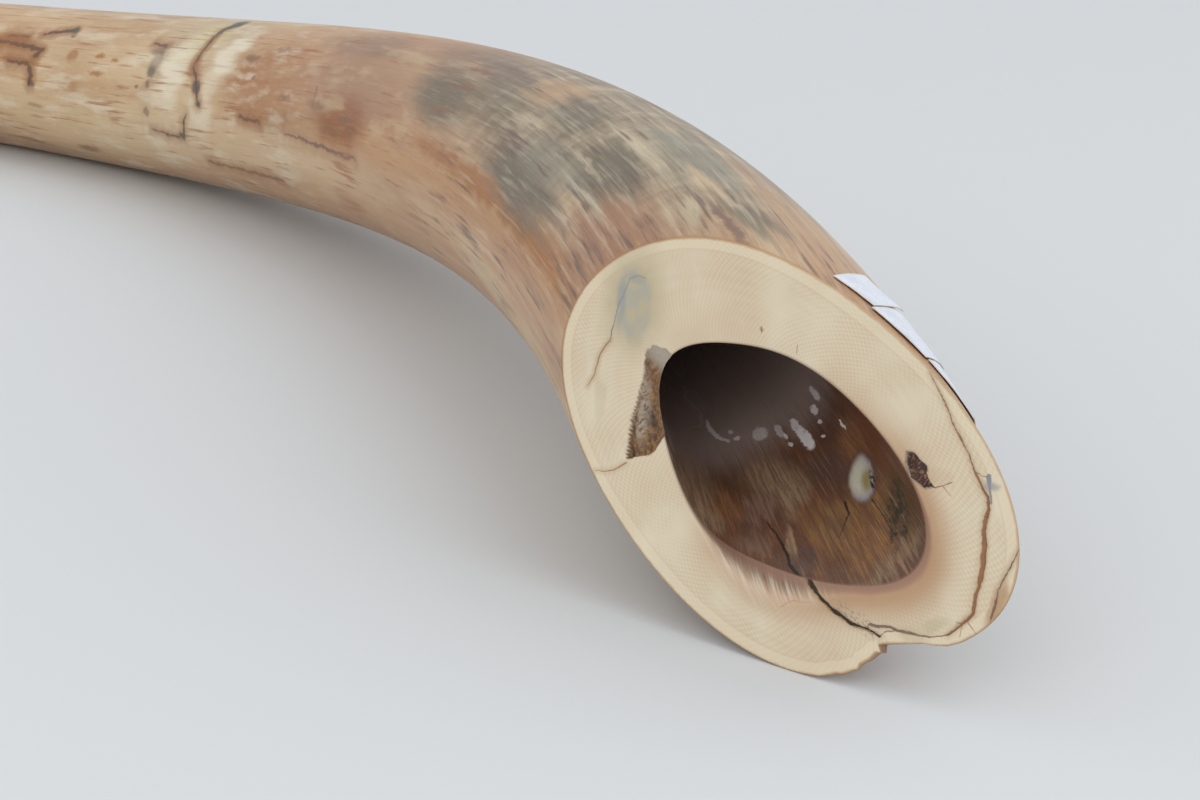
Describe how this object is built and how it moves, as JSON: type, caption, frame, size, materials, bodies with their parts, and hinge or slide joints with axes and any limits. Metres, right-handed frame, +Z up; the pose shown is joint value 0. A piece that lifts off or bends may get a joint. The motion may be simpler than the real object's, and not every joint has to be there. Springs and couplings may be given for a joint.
{
  "type": "mammoth tusk",
  "caption": "Long curved mammoth tusk sawn off slantwise, with a hollow pulp cavity, weathered bark, cracks and blank paper strips by the cut; lies on its side.",
  "frame": {"origin": "on the surface that the tusk lies on, below the middle of its bounding box", "axes": "+Z up, +X from the tip's side towards the sawn base end, -Y the side that the sawn face looks towards"},
  "size_m": [1.5012, 1.1474, 0.1533],
  "materials": {
    "ivory": "natural ivory: satin polished cut, tan and purple-brown streaked bark, dark brown pulp cavity",
    "paper": "plain white paper, bare"
  },
  "bodies": {
    "root": {"tusk": "ivory", "label_upper": "paper", "label_middle": "paper", "label_lower": "paper"}
  },
  "joints": []
}
